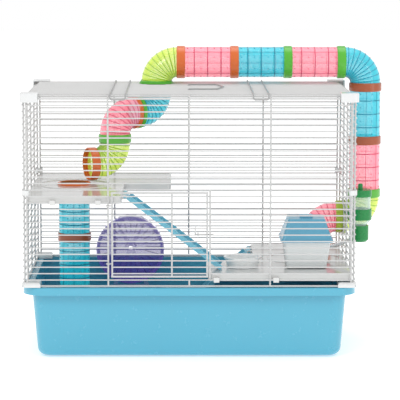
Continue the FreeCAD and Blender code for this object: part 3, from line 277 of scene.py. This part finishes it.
purple_tint = tinted("purple_wheel_wall", (0.17, 0.12, 0.50), 0.46, 0.95, painted_glow=0.16)
lilac_tint = tinted("lilac_bracket_wall", (0.55, 0.50, 0.70), 0.12, 0.6)
pink_rib = material("pink_rib", (0.62, 0.06, 0.14), roughness=0.15, drift=0.05)
blue_rib = material("blue_rib", (0.01, 0.22, 0.33), roughness=0.15, drift=0.05)
lime_rib = material("lime_rib", (0.22, 0.46, 0.02), roughness=0.15, drift=0.05)
purple_rib = tinted("purple_rib", (0.12, 0.07, 0.32), 0.5, 0.9, painted_glow=0.1)


def finish(name, made):
    """Gives a carried-over piece its material."""
    mesh = nodes[name].data
    mesh.materials.clear()
    mesh.materials.append(made)
    for polygon in mesh.polygons:
        polygon.material_index = 0


# ---- Pieces that are rebuilt with finer detail ----
tube_outer_radius = 28.0 * mm
tube_inner_radius = 26.0 * mm
tube_end_gap = 1.2 * mm
flange_ring_half = 8.0 * mm
bend_radius = 38.0 * mm
elbow_stub = 8.0 * mm


def middle(*names):
    """Centre of the box round one node, or round several together."""
    lows, highs = zip(*(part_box(name) for name in names))
    low = Vector([min(v[i] for v in lows) for i in range(3)])
    high = Vector([max(v[i] for v in highs) for i in range(3)])
    return (low + high) / 2


def closed_wall(frames, outer, inner, around=64):
    """A pipe wall through a row of frames: outer skin, inner skin and both end faces."""
    verts, faces = [], []
    for radius in (outer, inner):
        for spot in frames:
            for k in range(around):
                turn = 2 * math.pi * k / around
                verts.append(spot @ Vector((radius * math.cos(turn), radius * math.sin(turn), 0)))
    rows = len(frames)
    last = rows - 1

    def at(skin, row, k):
        return (skin * rows + row) * around + k % around

    for k in range(around):
        for row in range(rows - 1):
            faces.append((at(0, row, k), at(0, row, k + 1), at(0, row + 1, k + 1), at(0, row + 1, k)))
            faces.append((at(1, row, k + 1), at(1, row, k), at(1, row + 1, k), at(1, row + 1, k + 1)))
        faces.append((at(0, 0, k + 1), at(0, 0, k), at(1, 0, k), at(1, 0, k + 1)))
        faces.append((at(0, last, k), at(0, last, k + 1), at(1, last, k + 1), at(1, last, k)))
    return verts, faces


def mesh_from(name, verts, faces):
    """A mesh with smooth faces that meet sharply at its real edges."""
    mesh = bpy.data.meshes.new(name)
    mesh.from_pydata([tuple(v) for v in verts], [], faces)
    mesh.validate()
    mesh.polygons.foreach_set("use_smooth", [True] * len(mesh.polygons))
    mesh.set_sharp_from_angle(angle=math.radians(sharp_edge_deg))
    mesh.update()
    return mesh


def straight_frames(length):
    """The two ends and the middle of a straight tube, clear of the rings' shoulders."""
    return [Matrix.Translation((0, 0, z)) for z in (tube_end_gap, length / 2, length - tube_end_gap)]


def elbow_frames(steps=28):
    """Up a short stub, round a quarter bend from +Z to +X, and out along a second stub."""
    frames = [Matrix.Translation((0, 0, tube_end_gap))]
    for k in range(steps + 1):
        turn = math.pi / 2 * k / steps
        place = Vector((bend_radius * (1 - math.cos(turn)), 0, elbow_stub + bend_radius * math.sin(turn)))
        frames.append(Matrix.Translation(place) @ Matrix.Rotation(turn, 4, "Y"))
    end = bend_radius + elbow_stub
    frames.append(Matrix.Translation((end - tube_end_gap, 0, end)) @ Matrix.Rotation(math.pi / 2, 4, "Y"))
    return frames


class Growing(Wiring):
    """A geometry node tree with named inputs, plus short ways to add nodes and sums."""

    def __init__(self, name, inputs):
        super().__init__(bpy.data.node_groups.new(name, "GeometryNodeTree"))
        self.tree.interface.new_socket(name="Geometry", in_out="INPUT", socket_type="NodeSocketGeometry")
        self.sockets = {}
        for label, kind, value in inputs:
            socket = self.tree.interface.new_socket(name=label, in_out="INPUT", socket_type=kind)
            if value is not None:
                socket.default_value = value
            self.sockets[label] = socket.identifier
        self.tree.interface.new_socket(name="Geometry", in_out="OUTPUT", socket_type="NodeSocketGeometry")
        self.given = self.add("NodeGroupInput")
        self.out = self.add("NodeGroupOutput")

    def feed(self, value, socket):
        if isinstance(value, (int, float)):
            socket.default_value = value
        else:
            self.link(value, socket)

    def sum(self, operation, a, b=None):
        node = self.add("ShaderNodeMath", operation=operation)
        self.feed(a, node.inputs[0])
        if b is not None:
            self.feed(b, node.inputs[1])
        return node.outputs[0]

    def place(self, x=0.0, y=0.0, z=0.0):
        node = self.add("ShaderNodeCombineXYZ")
        for value, socket in zip((x, y, z), node.inputs):
            self.feed(value, socket)
        return node.outputs[0]

    def repeat(self, shape, count, spot, turn):
        """The shape set down once at every counted spot, turned as given, and made real."""
        points = self.add("GeometryNodePoints")
        self.feed(count, points.inputs["Count"])
        self.link(spot, points.inputs["Position"])
        euler = self.add("FunctionNodeEulerToRotation")
        self.link(turn, euler.inputs[0])
        set_down = self.add("GeometryNodeInstanceOnPoints")
        self.link(points.outputs[0], set_down.inputs["Points"])
        self.link(shape, set_down.inputs["Instance"])
        self.link(euler.outputs[0], set_down.inputs["Rotation"])
        real = self.add("GeometryNodeRealizeInstances")
        self.link(set_down.outputs[0], real.inputs[0])
        return real.outputs[0]

    def hoop(self, radius, thickness, around=56):
        """A round hoop of round section, lying flat."""
        ring = self.add("GeometryNodeCurvePrimitiveCircle")
        ring.inputs["Resolution"].default_value = around
        self.link(radius, ring.inputs["Radius"])
        section = self.add("GeometryNodeCurvePrimitiveCircle")
        section.inputs["Resolution"].default_value = 6
        self.link(thickness, section.inputs["Radius"])
        sweep = self.add("GeometryNodeCurveToMesh")
        self.link(ring.outputs[0], sweep.inputs["Curve"])
        self.link(section.outputs[0], sweep.inputs["Profile Curve"])
        return sweep.outputs[0]

    def end(self, parts):
        """Joins what was grown, gives it the rib material and hands it on with the wall."""
        joined = self.add("GeometryNodeJoinGeometry")
        for part in reversed(parts):
            self.link(part, joined.inputs[0])
        coloured = self.add("GeometryNodeSetMaterial")
        self.link(joined.outputs[0], coloured.inputs["Geometry"])
        self.link(self.given.outputs["Rib Material"], coloured.inputs["Material"])
        smooth = self.add("GeometryNodeSetShadeSmooth")
        self.link(coloured.outputs[0], smooth.inputs[0])
        whole = self.add("GeometryNodeJoinGeometry")
        self.link(smooth.outputs[0], whole.inputs[0])
        self.link(self.given.outputs["Geometry"], whole.inputs[0])
        self.link(whole.outputs[0], self.out.inputs[0])


def make_straight_ribs():
    """Hoops, studs and long seams on a straight tube that runs from z = 0."""
    grow = Growing("straight_tube_ribs", [
        ("Rib Count", "NodeSocketInt", 3), ("Stud Count", "NodeSocketInt", 8),
        ("Seam Count", "NodeSocketInt", 8),
        ("Tube Radius", "NodeSocketFloat", tube_outer_radius), ("Rib Thickness", "NodeSocketFloat", 0.9 * mm),
        ("Stud Size", "NodeSocketFloat", 1.1 * mm), ("Seam Width", "NodeSocketFloat", 0.7 * mm),
        ("Run Length", "NodeSocketFloat", 0.1), ("Rib Material", "NodeSocketMaterial", None)])
    have = grow.given.outputs
    index = grow.add("GeometryNodeInputIndex").outputs[0]
    still = grow.place()
    bays = grow.sum("ADD", have["Rib Count"], 1.0)
    bay = grow.sum("DIVIDE", have["Run Length"], bays)
    hoops = grow.repeat(grow.hoop(have["Tube Radius"], have["Rib Thickness"]), have["Rib Count"],
                        grow.place(z=grow.sum("MULTIPLY", grow.sum("ADD", index, 1.0), bay)), still)
    stud = grow.add("GeometryNodeMeshIcoSphere")
    stud.inputs["Subdivisions"].default_value = 2
    grow.link(have["Stud Size"], stud.inputs["Radius"])
    row = grow.sum("FLOOR", grow.sum("DIVIDE", grow.sum("ADD", index, 0.25), have["Stud Count"]))
    angle = grow.sum("MULTIPLY", grow.sum("ADD", index, 0.5),
                     grow.sum("DIVIDE", math.tau, have["Stud Count"]))
    studs = grow.repeat(stud.outputs[0], grow.sum("MULTIPLY", bays, have["Stud Count"]),
                        grow.place(grow.sum("MULTIPLY", grow.sum("COSINE", angle), have["Tube Radius"]),
                                   grow.sum("MULTIPLY", grow.sum("SINE", angle), have["Tube Radius"]),
                                   grow.sum("MULTIPLY", grow.sum("ADD", row, 0.5), bay)), still)
    seam = grow.add("GeometryNodeMeshCube")
    seam_length = grow.sum("SUBTRACT", have["Run Length"], 2 * flange_ring_half)
    grow.link(grow.place(have["Seam Width"], have["Seam Width"], seam_length), seam.inputs["Size"])
    around = grow.sum("MULTIPLY", index, grow.sum("DIVIDE", math.tau, have["Seam Count"]))
    seams = grow.repeat(seam.outputs[0], have["Seam Count"],
                        grow.place(grow.sum("MULTIPLY", grow.sum("COSINE", around), have["Tube Radius"]),
                                   grow.sum("MULTIPLY", grow.sum("SINE", around), have["Tube Radius"]),
                                   grow.sum("MULTIPLY", have["Run Length"], 0.5)), grow.place(z=around))
    grow.end([hoops, studs, seams])
    return grow


def make_fan_ribs():
    """Hoops fanned round a quarter bend that turns from +Z to +X."""
    grow = Growing("elbow_fan_ribs", [
        ("Rib Count", "NodeSocketInt", 9), ("Tube Radius", "NodeSocketFloat", tube_outer_radius),
        ("Rib Thickness", "NodeSocketFloat", 0.7 * mm), ("Bend Radius", "NodeSocketFloat", bend_radius),
        ("Stub", "NodeSocketFloat", elbow_stub), ("Rib Material", "NodeSocketMaterial", None)])
    have = grow.given.outputs
    index = grow.add("GeometryNodeInputIndex").outputs[0]
    turn = grow.sum("MULTIPLY", grow.sum("ADD", index, 0.5),
                    grow.sum("DIVIDE", math.pi / 2, have["Rib Count"]))
    sideways = grow.sum("MULTIPLY", have["Bend Radius"], grow.sum("SUBTRACT", 1.0, grow.sum("COSINE", turn)))
    along = grow.sum("ADD", have["Stub"], grow.sum("MULTIPLY", have["Bend Radius"], grow.sum("SINE", turn)))
    hoops = grow.repeat(grow.hoop(have["Tube Radius"], have["Rib Thickness"]), have["Rib Count"],
                        grow.place(sideways, 0.0, along), grow.place(y=turn))
    grow.end([hoops])
    return grow


def grown(name, mesh, grow, values):
    """The mesh with a geometry node tree run on it, as one plain mesh."""
    carrier = bpy.data.objects.new(name, mesh)
    bpy.context.scene.collection.objects.link(carrier)
    modifier = carrier.modifiers.new("growing", "NODES")
    modifier.node_group = grow.tree
    for label, value in values.items():
        modifier[grow.sockets[label]] = value
    bpy.context.view_layer.update()
    depsgraph = bpy.context.evaluated_depsgraph_get()
    plain = bpy.data.meshes.new_from_object(carrier.evaluated_get(depsgraph), depsgraph=depsgraph)
    plain.name = name
    bpy.data.objects.remove(carrier)
    return plain


def new_piece(name, mesh, body, stands_for):
    """Adds a finished piece at the origin, riding on a body in place of its plain solid."""
    piece = bpy.data.objects.new(name, mesh)
    bpy.context.scene.collection.objects.link(piece)
    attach(piece, body)
    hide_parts(*stands_for)


def make_wheel_ribs():
    """Radial ribs on the wheel's back disc, and treads along its running wall."""
    grow = Growing("wheel_ribs_and_treads", [
        ("Rib Count", "NodeSocketInt", 24), ("Tread Count", "NodeSocketInt", 60),
        ("Rib Start", "NodeSocketFloat", 0.028), ("Rib End", "NodeSocketFloat", 0.059),
        ("Rib Width", "NodeSocketFloat", 0.9 * mm), ("Disc Height", "NodeSocketFloat", 2 * mm),
        ("Wall Radius", "NodeSocketFloat", 0.0608), ("Wall Height", "NodeSocketFloat", 0.046),
        ("Rib Material", "NodeSocketMaterial", None)])
    have = grow.given.outputs
    index = grow.add("GeometryNodeInputIndex").outputs[0]
    rib = grow.add("GeometryNodeMeshCube")
    grow.link(grow.place(grow.sum("SUBTRACT", have["Rib End"], have["Rib Start"]), have["Rib Width"],
                         have["Rib Width"]), rib.inputs["Size"])
    turn = grow.sum("MULTIPLY", index, grow.sum("DIVIDE", math.tau, have["Rib Count"]))
    reach = grow.sum("MULTIPLY", grow.sum("ADD", have["Rib End"], have["Rib Start"]), 0.5)
    ribs = grow.repeat(rib.outputs[0], have["Rib Count"],
                       grow.place(grow.sum("MULTIPLY", grow.sum("COSINE", turn), reach),
                                  grow.sum("MULTIPLY", grow.sum("SINE", turn), reach), have["Disc Height"]),
                       grow.place(z=turn))
    tread = grow.add("GeometryNodeMeshCube")
    grow.link(grow.place(have["Rib Width"], have["Rib Width"],
                         grow.sum("MULTIPLY", have["Wall Height"], 0.9)), tread.inputs["Size"])
    round_wall = grow.sum("MULTIPLY", index, grow.sum("DIVIDE", math.tau, have["Tread Count"]))
    treads = grow.repeat(tread.outputs[0], have["Tread Count"],
                         grow.place(grow.sum("MULTIPLY", grow.sum("COSINE", round_wall), have["Wall Radius"]),
                                    grow.sum("MULTIPLY", grow.sum("SINE", round_wall), have["Wall Radius"]),
                                    grow.sum("MULTIPLY", have["Wall Height"], 0.5)), grow.place(z=round_wall))
    grow.end([ribs, treads])
    return grow


straight_ribs = make_straight_ribs()
fan_ribs = make_fan_ribs()
wheel_ribs = make_wheel_ribs()


def straight_tube(node, body, start, end, wall, rib):
    """A ribbed straight tube between two ring centres."""
    run = end - start
    skins = closed_wall(straight_frames(run.length), tube_outer_radius, tube_inner_radius)
    mesh = mesh_from(node + "_wall", *skins)
    mesh.materials.append(wall)
    plain = grown(node + "_ribbed", mesh, straight_ribs, {"Run Length": run.length, "Rib Material": rib})
    spin = run.to_track_quat("Z", "Y").to_matrix().to_4x4()
    plain.transform(Matrix.Translation(start) @ spin)
    new_piece(node + "_ribbed", plain, body, [node])


def elbow_tube(node, body, start, heading, end, wall, rib):
    """A fan-ribbed elbow that leaves one ring centre along its heading and ends at another."""
    reach = (end - start).length / math.sqrt(2)
    leaving = (end - start - heading * reach).normalized()
    mesh = mesh_from(node + "_wall", *closed_wall(elbow_frames(), tube_outer_radius, tube_inner_radius))
    mesh.materials.append(wall)
    plain = grown(node + "_ribbed", mesh, fan_ribs, {"Rib Material": rib})
    across = heading.cross(leaving)
    turn = Matrix((leaving, across, heading)).transposed().to_4x4()
    plain.transform(Matrix.Translation(start) @ turn)
    new_piece(node + "_ribbed", plain, body, [node])


def lathed(profile, around=96):
    """A closed solid of revolution from a loop of (radius, height) points."""
    verts, faces = [], []
    for radius, height in profile:
        for k in range(around):
            turn = math.tau * k / around
            verts.append((radius * math.cos(turn), radius * math.sin(turn), height))
    rows = len(profile)
    for row in range(rows):
        after = (row + 1) % rows
        for k in range(around):
            beside = (k + 1) % around
            faces.append((row * around + k, row * around + beside,
                          after * around + beside, after * around + k))
    return verts, faces


def running_wheel(wall, rib):
    """The wheel again with a whole back disc, radial ribs, treads and a hub."""
    low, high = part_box("exercise_wheel")
    centre = (low + high) / 2
    rim = (high.x - low.x) / 2
    depth = high.y - low.y
    skin, lip, back = 2 * mm, 5 * mm, rim - 2.5 * mm
    bore, hub, hub_top = 4.4 * mm, 11 * mm, 20 * mm
    edge = 1 * mm
    profile = [(bore, 0), (back - edge, 0), (back, edge), (rim, depth - edge), (rim - edge, depth),
               (rim - skin - lip, depth), (rim - skin - lip, depth - skin), (rim - skin, depth - skin),
               (back - skin, skin), (hub, skin), (hub - skin, hub_top), (bore, hub_top)]
    mesh = mesh_from("running_wheel_wall", *lathed(profile))
    mesh.materials.append(wall)
    plain = grown("running_wheel", mesh, wheel_ribs, {"Rib End": back - skin, "Wall Radius": back - skin,
                                                      "Wall Height": depth, "Rib Material": rib})
    stand = Matrix((Vector((1, 0, 0)), Vector((0, 0, 1)), Vector((0, -1, 0)))).transposed().to_4x4()
    plain.transform(Matrix.Translation((centre.x, high.y, centre.z)) @ stand)
    new_piece("running_wheel", plain, "wheel", ["exercise_wheel"])


# ---- Run ----
set_camera()
set_studio()

for name in ["front_panel", "back_panel", "left_panel", "right_panel", "roof_panel",
             "front_door", "door_latch"]:
    finish(name, wire_paint)
for name in ["carry_handle", "roof_clasp_left", "roof_clasp_right"]:
    finish(name, grey_wire)
for name in ["corner_caps", "wall_clips", "corner_feet"]:
    finish(name, white_plastic)
for name in ["upper_shelf", "lower_shelf"]:
    finish(name, shelf_plastic)
for name in ["upper_ramp", "lower_ramp"]:
    finish(name, ramp_plastic)
finish("base_tray", tray_plastic)
finish("hut_body", hut_wall_plastic)
finish("hut_roof", hut_roof_plastic)
finish("food_bowl", bowl_plastic)
for name in ["bottle_top_cap", "bottle_neck_cap", "bottle_holder"]:
    finish(name, bottle_green)
finish("bottle_body", clear_bottle)
for name in ["bottle_spout", "bottle_ball"]:
    finish(name, steel)
finish("exercise_wheel", purple_tint)
finish("wheel_bracket", lilac_tint)
# The side rings and the middle column ring take the darker orange copy, which is painted shade.
ring_finish = {
    "top_ring_1": orange_ring, "top_ring_2": orange_ring, "top_ring_3": green_ring, "top_ring_4": green_ring,
    "side_ring_1": shaded_orange_ring, "side_ring_2": shaded_orange_ring, "side_ring_3": green_ring,
    "drop_ring_1": green_ring, "drop_ring_2": orange_ring, "drop_ring_3": green_ring,
    "mouth_ring": orange_ring,
    "column_ring_1": orange_ring, "column_ring_2": shaded_orange_ring, "column_ring_3": green_ring,
    "side_mouth_ring": orange_ring, "roof_flange": green_ring, "side_flange": olive_ring}
for name, made in ring_finish.items():
    finish(name, made)
roof_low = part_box("roof_flange")[0]
roof_ring = middle("roof_flange")
roof_ring.z = roof_low.z + flange_ring_half
side_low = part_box("side_flange")[0]
side_ring = middle("side_flange")
side_ring.x = side_low.x + flange_ring_half
drop_ring = middle("drop_ring_1", "drop_ring_2")
up, right, down, left = Vector((0, 0, 1)), Vector((1, 0, 0)), Vector((0, 0, -1)), Vector((-1, 0, 0))

straight_runs = [
    ("top_tube_1", "top_ring_1", "top_ring_2", pink_tube, pink_rib),
    ("top_tube_2", "top_ring_2", "top_ring_3", blue_tube, blue_rib),
    ("top_tube_3", "top_ring_3", "top_ring_4", pink_tube, pink_rib),
    ("side_tube_1", "side_ring_1", "side_ring_2", blue_tube, blue_rib),
    ("side_tube_2", "side_ring_2", "side_ring_3", pink_tube, pink_rib),
    ("column_tube_1", "column_ring_1", "column_ring_2", blue_tube, blue_rib),
    ("column_tube_2", "column_ring_2", "column_ring_3", blue_tube, blue_rib)]
for node, first, second, wall, rib in straight_runs:
    straight_tube(node, "cage", middle(first), middle(second), wall, rib)
elbow_runs = [
    ("roof_elbow", "cage", roof_ring, up, middle("top_ring_1"), lime_tube, lime_rib),
    ("corner_elbow", "cage", middle("top_ring_4"), right, middle("side_ring_1"), blue_tube, blue_rib),
    ("side_elbow", "cage", middle("side_ring_3"), down, side_ring, lime_tube, lime_rib),
    ("side_mouth_elbow", "side_mouth", side_ring, left, middle("side_mouth_ring"), pink_tube, pink_rib),
    ("drop_elbow_1", "drop", roof_ring, down, drop_ring, blue_tube, blue_rib),
    ("drop_elbow_2", "drop", middle("drop_ring_3"), up, drop_ring, pink_tube, pink_rib),
    ("mouth_elbow", "mouth", middle("drop_ring_3"), down, middle("mouth_ring"), lime_tube, lime_rib)]
for node, body, start, heading, end, wall, rib in elbow_runs:
    elbow_tube(node, body, start, heading, end, wall, rib)

running_wheel(purple_tint, purple_rib)
